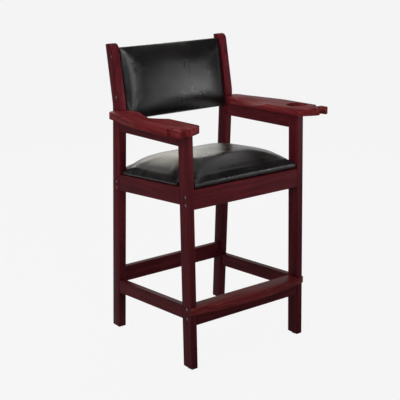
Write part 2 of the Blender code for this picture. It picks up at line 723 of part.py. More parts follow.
# Connector bolts through the legs: sunk heads outside, a cross nut or an insert inside.
# Each bolt is drawn up tight in its nut, so the two are one piece.
head_top = BOLT_HEAD_H
shank = [(0, -head_top), (BOLT_HEAD_R - BOLT_HEAD_H / 3, -head_top),
         (BOLT_HEAD_R, -head_top * HEAD_RIM_SHARE), (BOLT_HEAD_R, 0), (BOLT_R, 0)]
bolt_ob = turned("cross_nut_bolt", shank + [(BOLT_R, BOLT_L), (0, BOLT_L)])
nut_bm = bmesh.new()
nut_at = Matrix.Translation((0, 0, BOLT_L - NUT_BACK)) @ Matrix.Rotation(math.pi / 2, 4, "Y")
bmesh.ops.create_cone(nut_bm, cap_ends=True, segments=TURN_SIDES, radius1=NUT_R, radius2=NUT_R, depth=NUT_L,
                      matrix=nut_at)
nut_me = bpy.data.meshes.new("cross_nut")
nut_bm.to_mesh(nut_me)
nut_bm.free()
nut_ob = bpy.data.objects.new("cross_nut", nut_me)
bpy.context.scene.collection.objects.link(nut_ob)
join = bolt_ob.modifiers.new("nut", "BOOLEAN")
join.operation = "UNION"
join.solver = "EXACT"
join.object = nut_ob
cross_bolt = settled(bolt_ob)
bpy.data.objects.remove(nut_ob, do_unlink=True)
insert_bolt = settled(turned("insert_bolt", shank + [
    (BOLT_R, BOLT_L - INSERT_L), (NUT_R, BOLT_L - INSERT_L), (NUT_R, BOLT_L), (0, BOLT_L)]))


def bolt(name, side, f, z, leg, rail, wall, nut_way=0, also=()):
    """Bolt from a leg's outer face into a rail's end; nut_way is the side its nut goes in from."""
    into = Vector((-side, 0, 0))
    at = Vector((side * HALF, -f, z)) + into * BOLT_SINK
    ob = add(name, cross_bolt if nut_way else insert_bolt, STEEL)
    ob.location = at
    ob.rotation_euler = into.to_track_quat("Z", "Y").to_euler()
    bore(leg, at, into, -OVER, GAP, BOLT_SINK_R)
    bore(leg, at, into, 0, wall, BOLT_R + GAP)
    for piece in (rail, *also):
        bore(piece, at, into, BOLT_SINK, BOLT_L + GAP, BOLT_R + GAP)
    if nut_way:
        nut = at + into * (BOLT_L - NUT_BACK)
        bore(rail, nut, (0, -nut_way, 0), -NUT_L / 2 - GAP, NUT_L / 2 + OVER, NUT_R + GAP)
    else:
        bore(rail, at, into, BOLT_SINK, BOLT_L + GAP, NUT_R + GAP)
        for piece in also:
            bore(piece, at, into, BOLT_SINK, BOLT_L + GAP, NUT_R + GAP)


front_bolt_f = leg_front((front_rail_base + front_rail_top) / 2) - FRONT_RAIL_T / 2
front_mid = (front_rail_base + front_rail_top) / 2 - SEAT_BOLT_DROP
rear_mid = rear_base + RAIL_H * REAR_BOLT_SHARE
foot_f = foot_back + FOOT_RAIL_T * FOOT_BOLT_SHARE
for side, word in SIDES:
    leg, post = "front_leg_" + word, "rear_post_" + word
    for level, up in (("upper", 0.5), ("lower", -0.5)):
        bolt("seat_rail_bolt_front_%s_%s" % (word, level), side, front_bolt_f,
             front_mid + SEAT_BOLT_PITCH * up, leg, "seat_rail_front", LEG_T, -1)
        bolt("seat_rail_bolt_rear_%s_%s" % (word, level), side, (rear_f + rear_g) / 2,
             rear_mid + REAR_BOLT_PITCH * up, post, "seat_rail_rear", POST_T, 1)
        f, z = back_place(BACK_BOLT_HIGH if up > 0 else BACK_BOLT_LOW, BACK_BOARD_IN + BACK_BOARD_H / 2)
        bolt("back_bolt_%s_%s" % (word, level), side, f, z,
             post, "back_board", POST_T, 0, ("back_cushion",))
    bolt("footrest_bolt_%s_upper" % word, side, foot_f, foot_board_z + FOOT_BOARD_H / 2,
         leg, "footrest_board", LEG_T, -1)
    bolt("footrest_bolt_%s_lower" % word, side, foot_f, (FOOT_RAIL_BASE + foot_rail_top) / 2,
         leg, "footrest_rail", LEG_T, -1)

# Screws up through the arm rails and the footrest rail
arm_len, foot_len = ARM_THROUGH + ARM_BITE, FOOT_THROUGH + FOOT_BITE
arm_screw, foot_screw = screw_mesh("arm_screw", arm_len), screw_mesh("footrest_screw", foot_len)
for side, word in SIDES:
    for where, f in (("rear", ARM_SCREW_REAR), ("front", ARM_SCREW_FRONT)):
        at = (side * (HALF - RAIL_T / 2), -f, arm_line(f) - ARM_THROUGH)
        screw("arm_screw_%s_%s" % (where, word), arm_screw, arm_len, at,
              ("arm_rail_" + word, "arm_" + word))
for side, word in SIDES:
    at = (side * FOOT_SCREW_X, -foot_f, foot_board_z - FOOT_THROUGH)
    screw("footrest_screw_" + word, foot_screw, foot_len, at, ("footrest_rail", "footrest_board"))

# Floor glides pinned into the feet
glide = settled(turned("floor_glide", [
    (0, 0), (GLIDE_R - GLIDE_ROUND, 0), (GLIDE_R, GLIDE_ROUND), (GLIDE_R, GLIDE_H), (GLIDE_PIN_R, GLIDE_H),
    (GLIDE_PIN_R, GLIDE_H + GLIDE_PIN), (0, GLIDE_H + GLIDE_PIN)]))
for side, word in SIDES:
    for leg, where, f, wall in (("front_leg_", "front", leg_back(GLIDE_H) + LEG_D / 2, LEG_T),
                                ("rear_post_", "rear", post_back(GLIDE_H) + POST_D / 2, POST_T)):
        at = (side * (HALF - wall / 2), -f, 0)
        add("floor_glide_%s_%s" % (where, word), glide, NYLON).location = at
        bore(leg + word, at, (0, 0, 1), 0, GLIDE_H + GLIDE_PIN + GAP, GLIDE_PIN_R + GAP)

# Holes, pockets and mortises
for name, bm in cuts.items():
    mesh = bpy.data.meshes.new(name + "_cutter")
    bm.to_mesh(mesh)
    bm.free()
    tool = bpy.data.objects.new(name + "_cutter", mesh)
    cutters.objects.link(tool)
    tool.parent = chair
    tool.hide_render = True
    tool.display_type = "WIRE"
    holes = parts.objects[name].modifiers.new("holes", "BOOLEAN")
    holes.operation = "DIFFERENCE"
    holes.solver = "EXACT"
    holes.use_self = True
    holes.object = tool
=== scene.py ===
# Billiard spectator chair: mahogany-stained timber, black leatherette, zinc-plated fittings.
# Metres. The chair faces -Y and +X is the sitter's left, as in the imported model.
import math

import bpy
from mathutils import Matrix, Vector, noise


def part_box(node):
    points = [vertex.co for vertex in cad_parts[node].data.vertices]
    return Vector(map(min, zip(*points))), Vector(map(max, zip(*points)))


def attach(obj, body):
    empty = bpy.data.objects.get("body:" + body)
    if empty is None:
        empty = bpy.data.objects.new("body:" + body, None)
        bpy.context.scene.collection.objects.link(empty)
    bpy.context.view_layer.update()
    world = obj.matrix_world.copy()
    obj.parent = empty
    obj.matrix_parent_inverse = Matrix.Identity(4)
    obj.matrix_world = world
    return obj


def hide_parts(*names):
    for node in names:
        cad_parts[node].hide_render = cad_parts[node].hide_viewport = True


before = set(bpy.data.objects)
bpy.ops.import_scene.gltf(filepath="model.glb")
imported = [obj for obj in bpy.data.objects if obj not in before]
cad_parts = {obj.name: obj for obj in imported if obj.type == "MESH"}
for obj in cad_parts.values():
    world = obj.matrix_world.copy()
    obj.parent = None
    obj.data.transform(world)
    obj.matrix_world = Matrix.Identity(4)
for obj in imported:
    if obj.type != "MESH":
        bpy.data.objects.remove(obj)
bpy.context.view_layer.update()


# Straight timbers: legs, rails and stretchers in kiln-dried hardwood, planed, eased along the
# edges, wiped with a red mahogany stain and sprayed with a semi-gloss lacquer. The stain gathers
# in the pores, so fine dark streaks run with the grain over a slow red and brown figure.
FRAME_STAIN = ("#451219", "#551920", "#65222a")     # dark, middle and light bands
FRAME_SHEEN = 0.05
FIGURE_WIDTH = 0.014        # lighter and darker bands across the grain
PORE_WIDTH = 0.0011         # drawn coarser than life, so that the pores show
PORE_DEPTH = 0.0004
CLOUD_WIDTH = 0.16          # slow unevenness of the stain
ALONG_GRAIN = 0.045         # coordinates shrink to this along the grain, so a band is some 0.3 m long


def colour(text):
    """An sRGB hex colour as linear RGBA."""
    parts = [int(text[k:k + 2], 16) / 255 for k in (1, 3, 5)]
    return [c / 12.92 if c < 0.04045 else ((c + 0.055) / 1.055) ** 2.4 for c in parts] + [1.0]


def set_inputs(tree, node, inputs):
    """Sets a node's inputs. Each is a value, or (node, output) to link from."""
    for key, value in inputs.items():
        if isinstance(value, tuple) and isinstance(value[0], bpy.types.Node):
            tree.links.new(value[0].outputs[value[1]], node.inputs[key])
        else:
            node.inputs[key].default_value = value


def add_node(tree, kind, inputs=None, ramp=None, **settings):
    """Adds a node with its settings and inputs. A ramp is a list of stops, (place, hex colour)."""
    new = tree.nodes.new(kind)
    for key, value in settings.items():
        setattr(new, key, value)
    set_inputs(tree, new, inputs or {})
    if ramp:
        stops = new.color_ramp.elements
        while len(stops) < len(ramp):
            stops.new(0.5)
        for stop, (place, tone) in zip(stops, ramp):
            stop.position, stop.color = place, colour(tone)
    return new


def new_material(name):
    """A new material with its node tree and Principled shader: (material, tree, shader)."""
    made = bpy.data.materials.new(name)
    made.use_nodes = True
    tree = made.node_tree
    return made, tree, tree.nodes["Principled BSDF"]


def stained_mahogany(name, along, stain=FRAME_STAIN, sheen=FRAME_SHEEN):
    """Stained and lacquered timber with its grain along the axis that is 1 in `along`."""
    dark, middle, light = stain
    made, tree, shader = new_material(name)
    place = add_node(tree, "ShaderNodeTexCoord")
    stretch = add_node(tree, "ShaderNodeMapping", {
        "Vector": (place, "Object"), "Scale": [ALONG_GRAIN if axis else 1.0 for axis in along]})
    figure = add_node(tree, "ShaderNodeTexNoise", {
        "Vector": (stretch, "Vector"), "Scale": 1 / FIGURE_WIDTH, "Detail": 4.0, "Roughness": 0.55,
        "Distortion": 0.7})
    pores = add_node(tree, "ShaderNodeTexNoise", {
        "Vector": (stretch, "Vector"), "Scale": 1 / PORE_WIDTH, "Detail": 2.0, "Roughness": 0.6})
    cloud = add_node(tree, "ShaderNodeTexNoise", {
        "Vector": (place, "Object"), "Scale": 1 / CLOUD_WIDTH, "Detail": 1.0})
    tone = add_node(tree, "ShaderNodeValToRGB", {"Fac": (figure, "Fac")},
                    ramp=[(0.30, dark), (0.52, middle), (0.74, light)])
    blotch = add_node(tree, "ShaderNodeMapRange", {
        "Value": (cloud, "Fac"), "From Min": 0.3, "From Max": 0.7, "To Min": 0.88, "To Max": 1.12})
    uneven = add_node(tree, "ShaderNodeVectorMath", {
        0: (tone, "Color"), "Scale": (blotch, "Result")}, operation="SCALE")
    streak = add_node(tree, "ShaderNodeMapRange", {
        "Value": (pores, "Fac"), "From Min": 0.36, "From Max": 0.48, "To Min": 0.68, "To Max": 1.0})
    stained = add_node(tree, "ShaderNodeVectorMath", {
        0: (uneven, "Vector"), "Scale": (streak, "Result")}, operation="SCALE")
    gloss = add_node(tree, "ShaderNodeMapRange", {
        "Value": (figure, "Fac"), "To Min": 0.38, "To Max": 0.50})
    relief = add_node(tree, "ShaderNodeBump", {
        "Height": (pores, "Fac"), "Strength": 0.12, "Distance": PORE_DEPTH})
    set_inputs(tree, shader, {
        "Base Color": (stained, "Vector"), "Roughness": (gloss, "Result"), "Normal": (relief, "Normal"),
        "IOR": 1.5, "Specular IOR Level": sheen})
    return made


upright = stained_mahogany("mahogany_lacquered_upright", (0, 0, 1))
lengthwise = stained_mahogany("mahogany_lacquered_fore_and_aft", (0, 1, 0))
crosswise = stained_mahogany("mahogany_lacquered_crosswise", (1, 0, 0))


def finish_node(name, material):
    """Gives a CAD node its finish and leaves its shape alone."""
    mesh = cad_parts[name].data
    mesh.materials.clear()
    mesh.materials.append(material)


for hand in ("left", "right"):
    finish_node("front_leg_" + hand, upright)
    for rail in ("seat_rail_", "stretcher_", "arm_rail_"):
        finish_node(rail + hand, lengthwise)
for rail in ("seat_rail_front", "seat_rail_rear", "stretcher_rear", "footrest_rail"):
    finish_node(rail, crosswise)


# Shaped timbers: the raked rear posts, the two paddle arms with their forearm hollow, cue notches
# and cup recess, and the bowed footrest board. They are sawn to shape and sanded, so their curves
# are smooth. Arms and footrest are flat-sawn and show a browner, livelier figure.
ARM_STAIN = ("#54161b", "#70262a", "#90463e")
ARM_SHEEN = 0.02
TREAD_STAIN = ("#581a1c", "#742c2e", "#90423e")
TREAD_SHEEN = 0.03
MERGE = 0.00001             # points closer than this are one point


def sole(piece):
    """Makes a piece the only selected and the active object."""
    bpy.ops.object.select_all(action="DESELECT")
    piece.select_set(True)
    bpy.context.view_layer.objects.active = piece


def edit_all(piece):
    """Opens a piece in edit mode with all of it selected."""
    sole(piece)
    bpy.ops.object.mode_set(mode="EDIT")
    bpy.ops.mesh.select_all(action="SELECT")


def new_piece(name, mesh):
    """A new object with its own copy of a mesh."""
    piece = bpy.data.objects.new(name, mesh.copy())
    bpy.context.scene.collection.objects.link(piece)
    return piece


def smooth(piece, degrees):
    """Shades a piece smooth, but for edges that turn by more than the angle."""
    sole(piece)
    bpy.ops.object.shade_smooth_by_angle(angle=math.radians(degrees))


def take_place(piece, node, material):
    """Gives a piece its material and puts it on the frame in a CAD node's place."""
    piece.data.materials.clear()
    piece.data.materials.append(material)
    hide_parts(node)
    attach(piece, "root")


def smoothed_copy(node, name, material):
    """A merged copy of a CAD node, shaded smooth over its curves, in the node's place."""
    piece = new_piece(name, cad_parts[node].data)
    edit_all(piece)
    bpy.ops.mesh.remove_doubles(threshold=MERGE)
    bpy.ops.mesh.customdata_custom_splitnormals_clear()
    bpy.ops.object.mode_set(mode="OBJECT")
    smooth(piece, 40)
    take_place(piece, node, material)
    return piece


flat_sawn = stained_mahogany("mahogany_lacquered_arm", (0, 1, 0), ARM_STAIN, ARM_SHEEN)
tread = stained_mahogany("mahogany_lacquered_footrest", (1, 0, 0), TREAD_STAIN, TREAD_SHEEN)
for hand in ("left", "right"):
    for node, timber in (("rear_post_" + hand, upright), ("arm_" + hand, flat_sawn)):
        smoothed_copy(node, node + "_shaped", timber)
smoothed_copy("footrest_board", "footrest_board_shaped", tread)


# Corner blocks: unfinished pale beech, planed and glued into the corners of the seat frame. The
# bare wood is matt, with a fine straight figure.
BEECH_FIGURE = 0.006
BEECH_RELIEF = 0.0004
bare_wood, tree, shader = new_material("beech_unfinished_planed")
place = add_node(tree, "ShaderNodeTexCoord")
stretch = add_node(tree, "ShaderNodeMapping", {"Vector": (place, "Object"), "Scale": [0.1, 1.0, 1.0]})
figure = add_node(tree, "ShaderNodeTexNoise", {
    "Vector": (stretch, "Vector"), "Scale": 1 / BEECH_FIGURE, "Detail": 5.0, "Distortion": 0.4})
tone = add_node(tree, "ShaderNodeValToRGB", {"Fac": (figure, "Fac")},
                ramp=[(0.3, "#a47c4e"), (0.7, "#cfa873")])
relief = add_node(tree, "ShaderNodeBump", {
    "Height": (figure, "Fac"), "Strength": 0.2, "Distance": BEECH_RELIEF})
set_inputs(tree, shader, {
    "Base Color": (tone, "Color"), "Normal": (relief, "Normal"), "Roughness": 0.62})
for corner in ("front_left", "front_right", "rear_left", "rear_right"):
    finish_node("corner_block_" + corner, bare_wood)


# Boards: birch plywood under the seat and in the back, cut a little smaller than the cushion so
# that the cover's round corners close over them. Their sawn edges show the plies as pale and
# brown stripes, and the faces are raw and matt.
SEAT_RISE = 0.0935          # the seat rises by this much a metre towards the front
RAKE = math.radians(10.3)   # the back leans by this much
BOARD_SET_IN = 0.005
PLY = 0.002566              # drawn twice as thick as life, so that the plies show
WAVE_TURN = math.pi / 10    # a wave texture repeats over this length at scale 1
PLY_MOTTLE = 0.02
birch_ply, tree, shader = new_material("birch_plywood_raw")
place = add_node(tree, "ShaderNodeTexCoord")
level = add_node(tree, "ShaderNodeMapping", {
    "Vector": (place, "Object"), "Rotation": (math.atan(SEAT_RISE), 0, 0)})
plies = add_node(tree, "ShaderNodeTexWave", {
    "Vector": (level, "Vector"), "Scale": WAVE_TURN / (2 * PLY), "Distortion": 0.3}, bands_direction="Z")
figure = add_node(tree, "ShaderNodeTexNoise", {
    "Vector": (place, "Object"), "Scale": 1 / PLY_MOTTLE, "Detail": 4.0})
tone = add_node(tree, "ShaderNodeValToRGB", {"Fac": (plies, "Fac")},
                ramp=[(0.35, "#8f6a3f"), (0.6, "#cda976")])
mottle = add_node(tree, "ShaderNodeMix", {
    "Factor": (figure, "Fac"), 6: (tone, "Color"), 7: colour("#b8915c")}, data_type="RGBA")
set_inputs(tree, shader, {"Base Color": (mottle, 2), "Roughness": 0.7})

forward = Vector((0, -1, SEAT_RISE)).normalized()
upward = Vector((0, math.sin(RAKE), math.cos(RAKE)))


def drawn_in(node, name, material, along, set_in):
    """A smoothed copy of a board whose edges lie `set_in` inside the CAD solid, across and `along`."""
    board = smoothed_copy(node, name, material)
    low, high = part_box(node)
    middle = (Vector(low) + Vector(high)) / 2
    half = max(abs((point.co - middle).dot(along)) for point in board.data.vertices)
    for point in board.data.vertices:
        reach = (point.co - middle).dot(along)
        point.co -= along * reach * set_in / half
        point.co.x -= point.co.x * set_in / high.x
    return board


seat_board = drawn_in("seat_board", "seat_board_plywood", birch_ply, forward, BOARD_SET_IN)
back_board = drawn_in("back_board", "back_board_plywood", birch_ply, upward, BOARD_SET_IN)


# Seat cushion: a moulded foam pad in black grained leatherette, pulled down over the plywood board
# and stapled beneath. It is boxy and crowned, notched round the legs, with the cover gathered in
# folds at the notches and lightly creased across the front.
PEBBLE = 0.003              # 1.5 mm in life, drawn coarser so that the embossed grain still shows
PEBBLE_DEPTH = 0.0007
POLISH_WIDTH = 0.09         # patches that are a little more or less polished
CREASE_WIDTH = 0.024
CREASE_DEPTH = 0.0006
WRINKLE_WIDTH = 0.006       # crow's-foot wrinkles where the cloth was drawn tight
WRINKLE_DEPTH = 0.0006
WRINKLE_WANDER = 0.008
SEAT_TIGHT = ((-0.3, -1, 0), 0.10, 0.24)    # wrinkled towards its front at the sitter's right


def leatherette(name, crease_width, crease_depth, tight=None):
    """PVC leather cloth: glossy pebbles over slow creases. `tight` is (direction, start, end), in metres
    along the direction, and the cloth is more and more wrinkled from start to end."""
    made, tree, shader = new_material(name)
    place = add_node(tree, "ShaderNodeTexCoord")
    pebble = add_node(tree, "ShaderNodeTexVoronoi", {
        "Vector": (place, "Object"), "Scale": 1 / PEBBLE, "Randomness": 0.9})
    warp = add_node(tree, "ShaderNodeTexNoise", {
        "Vector": (place, "Object"), "Scale": 1 / crease_width, "Detail": 4.0, "Roughness": 0.72,
        "Distortion": 0.3})
    polish = add_node(tree, "ShaderNodeTexNoise", {
        "Vector": (place, "Object"), "Scale": 1 / POLISH_WIDTH, "Detail": 3.0})
    tone = add_node(tree, "ShaderNodeValToRGB", {"Fac": (polish, "Fac")},
                    ramp=[(0.3, "#100e0f"), (0.7, "#1a1818")])
    gloss = add_node(tree, "ShaderNodeMapRange", {
        "Value": (polish, "Fac"), "From Min": 0.3, "From Max": 0.7, "To Min": 0.25, "To Max": 0.33})
    surface = add_node(tree, "ShaderNodeBump", {
        "Height": (warp, "Fac"), "Strength": 0.3, "Distance": crease_depth})
    if tight:
        direction, start, end = tight
        wander = add_node(tree, "ShaderNodeVectorMath", {
            0: (warp, "Color"), 1: (WRINKLE_WANDER,) * 3, 2: (place, "Object")},
            operation="MULTIPLY_ADD")
        crackle = add_node(tree, "ShaderNodeTexVoronoi", {
            "Vector": (wander, "Vector"), "Scale": 1 / WRINKLE_WIDTH}, feature="DISTANCE_TO_EDGE")
        lines = add_node(tree, "ShaderNodeMapRange", {"Value": (crackle, "Distance"), "From Max": 0.25})
        reach = add_node(tree, "ShaderNodeVectorMath", {
            0: (place, "Object"), 1: direction}, operation="DOT_PRODUCT")
        pulled = add_node(tree, "ShaderNodeMapRange", {
            "Value": (reach, "Value"), "From Min": start, "From Max": end, "To Max": 0.6})
        patchy = add_node(tree, "ShaderNodeMapRange", {
            "Value": (polish, "Fac"), "From Min": 0.35, "From Max": 0.6, "To Max": (pulled, "Result")})
        surface = add_node(tree, "ShaderNodeBump", {
            "Height": (lines, "Result"), "Strength": (patchy, "Result"), "Distance": WRINKLE_DEPTH,
            "Normal": (surface, "Normal")})
    grain = add_node(tree, "ShaderNodeBump", {
        "Height": (pebble, "Distance"), "Strength": 0.4, "Distance": PEBBLE_DEPTH,
        "Normal": (surface, "Normal")})
    set_inputs(tree, shader, {
        "Base Color": (tone, "Color"), "Roughness": (gloss, "Result"), "Normal": (grain, "Normal"),
        "IOR": 1.5, "Specular IOR Level": 0.36})
    return made


seat_cover = leatherette("leatherette_black_embossed_seat", CREASE_WIDTH, CREASE_DEPTH, SEAT_TIGHT)


def share(value):
    """A value held between 0 and 1."""
    return min(1.0, max(0.0, value))


def joined(pieces, name):
    """Joins pieces into the first one, under one name."""
    sole(pieces[0])
    for piece in pieces:
        piece.select_set(True)
    bpy.ops.object.join()
    pieces[0].name = name
    return pieces[0]


def apply_modifier(piece, modifier):
    """Applies one of a piece's modifiers."""
    sole(piece)
    bpy.ops.object.modifier_apply(modifier=modifier.name)


def cut(piece, tool):
    """Cuts the tool's form out of a piece and removes the tool."""
    hollow = piece.modifiers.new("hollow", "BOOLEAN")
    hollow.operation, hollow.solver, hollow.object = "DIFFERENCE", "EXACT", tool
    apply_modifier(piece, hollow)
    bpy.data.objects.remove(tool, do_unlink=True)


FILLER_OVERLAP = 0.0009     # the boards that fill the foam's hollow overlap it, so that they fuse


def foam_shape(name, cushion, fillers, voxel):
    """The cushion's outer form: its CAD solid with the boards' hollow filled, remeshed in small squares."""
    copies = []
    for node in (cushion, *fillers):
        piece = new_piece(name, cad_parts[node].data)
        edit_all(piece)
        bpy.ops.mesh.remove_doubles(threshold=MERGE)
        if node != cushion:
            bpy.ops.transform.shrink_fatten(value=FILLER_OVERLAP)
        bpy.ops.object.mode_set(mode="OBJECT")
        copies.append(piece)
    shape = joined(copies, name)
    shape.data.remesh_voxel_size = voxel
    shape.data.remesh_voxel_adaptivity = 0
    bpy.ops.object.voxel_remesh()
    fair = shape.modifiers.new("fair", "SMOOTH")
    fair.factor, fair.iterations = 0.5, 6
    apply_modifier(shape, fair)
    return shape


def settle(shape, free, turns):
    """Evens out a cushion where `free` lets its cover move."""
    loose = shape.vertex_groups.new(name="loose")
    for point in shape.data.vertices:
        loose.add([point.index], free(point.co), "REPLACE")
    even = shape.modifiers.new("even", "SMOOTH")
    even.factor, even.iterations, even.vertex_group = 0.5, turns, "loose"
    apply_modifier(shape, even)


START_SMALLER = 0.3         # the pad starts smaller by this share of its swelling
LAST_FRAME = 14
EVENING_TURNS = 12


def inflate(shape, free, swell):
    """Cloth under air pressure. `free` is 0 where the cover is held and 1 where it may move by `swell`."""
    outward = [point.normal.copy() for point in shape.data.vertices]
    for point, normal in zip(shape.data.vertices, outward):
        point.co -= normal * swell * START_SMALLER * free(point.co)
    starts = [point.co.copy() for point in shape.data.vertices]
    held = shape.vertex_groups.new(name="stapled")
    for point in shape.data.vertices:
        held.add([point.index], 1 - free(point.co), "REPLACE")
    cover = shape.modifiers.new("cover", "CLOTH")
    cover.settings.vertex_group_mass = "stapled"
    cover.settings.use_pressure = True
    cover.settings.uniform_pressure_force = 4.0
    cover.settings.effector_weights.gravity = 0
    cover.settings.quality = 3
    cover.settings.tension_stiffness = cover.settings.compression_stiffness = 30
    cover.settings.bending_stiffness = 1.5
    cover.point_cache.frame_start, cover.point_cache.frame_end = 1, LAST_FRAME
    scene = bpy.context.scene
    for step in range(1, LAST_FRAME + 1):
        scene.frame_set(step)
    moved = shape.evaluated_get(bpy.context.evaluated_depsgraph_get()).data
    ends = [point.co.copy() for point in moved.vertices]
    shape.modifiers.remove(cover)
    scene.frame_set(1)
    near = [[] for start in starts]
    for one, other in (edge.vertices for edge in shape.data.edges):
        near[one].append(other)
        near[other].append(one)
    # The swelling is evened out over neighbouring points, as the foam does, and keeps within its cap
    pushes = [min((end - start).dot(normal), swell) * free(start)
              for start, end, normal in zip(starts, ends, outward)]
    for turn in range(EVENING_TURNS):
        pushes = [(push + sum(pushes[other] for other in near[one]) / len(near[one])) / 2
                  for one, push in enumerate(pushes)]
    for point, start, normal, push in zip(shape.data.vertices, starts, outward, pushes):
        point.co = start + normal * push * free(start)


BOARD_PLAY = 0.0014         # the hollow is wider than the boards by this much all round


def dressed(shape, boards, node, material, seam):
    """Subdivides a cushion, moves its points as `seam` says, cuts the boards' hollow and places it."""
    rounding = shape.modifiers.new("rounding", "SUBSURF")
    rounding.levels = rounding.render_levels = 1
    apply_modifier(shape, rounding)
    outward = [point.normal.copy() for point in shape.data.vertices]
    for point, normal in zip(shape.data.vertices, outward):
        point.co += normal * seam(point.co)
    for board in boards:
        tool = new_piece("recess", board.data)
        edit_all(tool)
        bpy.ops.transform.shrink_fatten(value=BOARD_PLAY)
        bpy.ops.object.mode_set(mode="OBJECT")
        cut(shape, tool)
    smooth(shape, 60)
    take_place(shape, node, material)


STAPLED_UP_TO = 0.014       # the cover is held to this height over the rails and loosens over the next
LOOSENS_OVER = 0.02
NOTCH_CORNERS = ((0.2535, -0.188), (-0.2535, -0.188), (0.2485, 0.192), (-0.2485, 0.192))
NOTCH_CLEAR = 0.04          # the roll along the border ends this far from a notch's inner corner
NOTCH_FADE = 0.03
FOLD_REACH = 0.075
FOLD_DEPTH = 0.0014
FOLDS_PER_TURN = 9
PULL_DEPTH = 0.0008         # short uneven pulls over the staples
PULL_HEIGHT = 0.02
PULL_SPREAD = 0.025
PULLS = (38, 9)             # waves a metre along the border and up it
BORDER = 0.03               # how far in and how high the roll and its crease reach
BORDER_HEIGHT = 0.04
ROLL_HEIGHT = 0.021
ROLL_DEPTH = 0.0015
CREASE_HEIGHT = 0.025       # the crease over the roll, at the front only
CREASE_SPREAD = 0.004
CREASE_IN = 0.0020
CREASE_WANDER = 0.003
CREASE_WAVES = 9
CREASE_BACK = 0.045
CREASE_FADE = 0.015
FOOT_HEIGHT = 0.004         # the foot of the roll turns in over the rail
# Where the foam stands fuller than the plain crown: the lift, how far inside the border, over what
# distance it fades, and over what height it begins
SHOULDERS = ((0.005, 0.04, 0.032, 0.02), (0.0085, 0.012, 0.009, 0.008))
SHOULDER_FOOT = 0.01
seat_low, seat_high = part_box("seat_cushion")
board_low, board_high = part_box("seat_board")


def above_frame(place):
    """Height over the sloping top of the seat rails."""
    return place.z - (board_low.z - SEAT_RISE * (place.y - board_high.y))


def from_border(place):
    """Distance in from the nearest side of the seat cushion."""
    return min(seat_high.x - abs(place.x), place.y - seat_low.y, seat_high.y - place.y)


def seat_free(place):
    """0 where the seat's cover is stapled, 1 where it may move."""
    return share((above_frame(place) - STAPLED_UP_TO) / LOOSENS_OVER)


def seat_seam(place):
    """A soft roll along the border, a crease over it, and folds that fan out from the leg notches."""
    height = above_frame(place)
    out, clear = 0.0, 1.0
    for x, y in NOTCH_CORNERS:
        away = Vector((place.x - x, place.y - y))
        reach = away.length
        clear = min(clear, max(0.0, (reach - NOTCH_CLEAR) / NOTCH_FADE))
        if reach < FOLD_REACH:
            fan = math.sin(math.atan2(away.y, away.x) * FOLDS_PER_TURN)
            out += FOLD_DEPTH * fan * (1 - reach / FOLD_REACH) ** 1.3
    run = place.x if place.y < seat_low.y + BORDER else place.y
    pull = noise.noise((run * PULLS[0], place.z * PULLS[1], 2.0))
    out += PULL_DEPTH * pull * share(1 - abs(height - PULL_HEIGHT) / PULL_SPREAD)
    if from_border(place) < BORDER and height < BORDER_HEIGHT:
        roll = math.sin(math.pi * share(height / ROLL_HEIGHT))
        wander = CREASE_WANDER * noise.noise((place.x * CREASE_WAVES, place.y * CREASE_WAVES, 0))
        crease = math.exp(-((height - CREASE_HEIGHT - wander) / CREASE_SPREAD) ** 2)
        front = share((seat_low.y + CREASE_BACK - place.y) / CREASE_FADE)
        foot = max(0.0, 1 - height / FOOT_HEIGHT)
        out += clear * (ROLL_DEPTH * roll - CREASE_IN * crease * front) - ROLL_DEPTH * foot
    return out


seat = foam_shape("seat_cushion_cover", "seat_cushion", ("seat_board",), voxel=0.008)
for point in seat.data.vertices:
    inside = from_border(point.co)
    over = max(0.0, above_frame(point.co) - SHOULDER_FOOT)
    point.co.z += sum(lift * math.exp(-((inside - middle) / fade) ** 2) * min(1.0, over / begin)
                      for lift, middle, fade, begin in SHOULDERS)
settle(seat, seat_free, turns=14)
inflate(seat, seat_free, swell=0.004)
dressed(seat, (seat_board,), "seat_cushion", seat_cover, seat_seam)


# Back cushion and rear panel: foam on a plywood board between the posts, its face domed and its
# border tight, with short pulls where the cover is stapled. Behind it a thin covered board with
# rolled edges is pressed in between the posts and closes the upholstery. Both wear the leatherette.
BACK_HALF_WIDE = 0.248
BACK_HALF_HIGH = 0.143
BACK_STAPLED_UP_TO = 0.022  # height over the middle of the rear panel, square to the back
BACK_LOOSENS_OVER = 0.012
DOME_MIDDLE = 0.009         # the middle of the face stands out by this much over the CAD solid
DOME = 0.014                # and its sides lie back from there by this much
ROLL_OFF = 0.002            # the face falls off a little more beside the posts
ROLL_OFF_FROM = 0.88
BACK_PULL_DEPTH = 0.0009
BACK_PULL_REACH = 0.05
BACK_PULLS = (45, 12)       # waves a metre along the border and away from it
FACE_FROM = 0.018           # the pulls begin at this height and are full over the next
FACE_OVER = 0.01
BACK_TIGHT = ((0.3, 0, 1), 1.12, 1.19)      # wrinkled towards its top at the sitter's left
PANEL_SET_IN = 0.003
PANEL_HALF_WIDE = 0.2446
PANEL_HALF_HIGH = 0.139
PANEL_SWELL = 0.0016
EDGE_STEEPNESS = 3          # the swelling is full from about a fifth of the half width in
PANEL_CREASE_WIDTH = 0.06
PANEL_CREASE_DEPTH = 0.0008
ahead = Vector((0, -math.cos(RAKE), math.sin(RAKE)))
panel_low, panel_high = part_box("back_shell")
panel_middle = (Vector(panel_low) + Vector(panel_high)) / 2
back_cover = leatherette("leatherette_black_embossed_back", CREASE_WIDTH, CREASE_DEPTH, BACK_TIGHT)
panel_cover = leatherette("leatherette_black_rear_panel", PANEL_CREASE_WIDTH, PANEL_CREASE_DEPTH)


def back_free(place):
    """0 where the back's cover is stapled, 1 where it may move."""
    return share(((place - panel_middle).dot(ahead) - BACK_STAPLED_UP_TO) / BACK_LOOSENS_OVER)


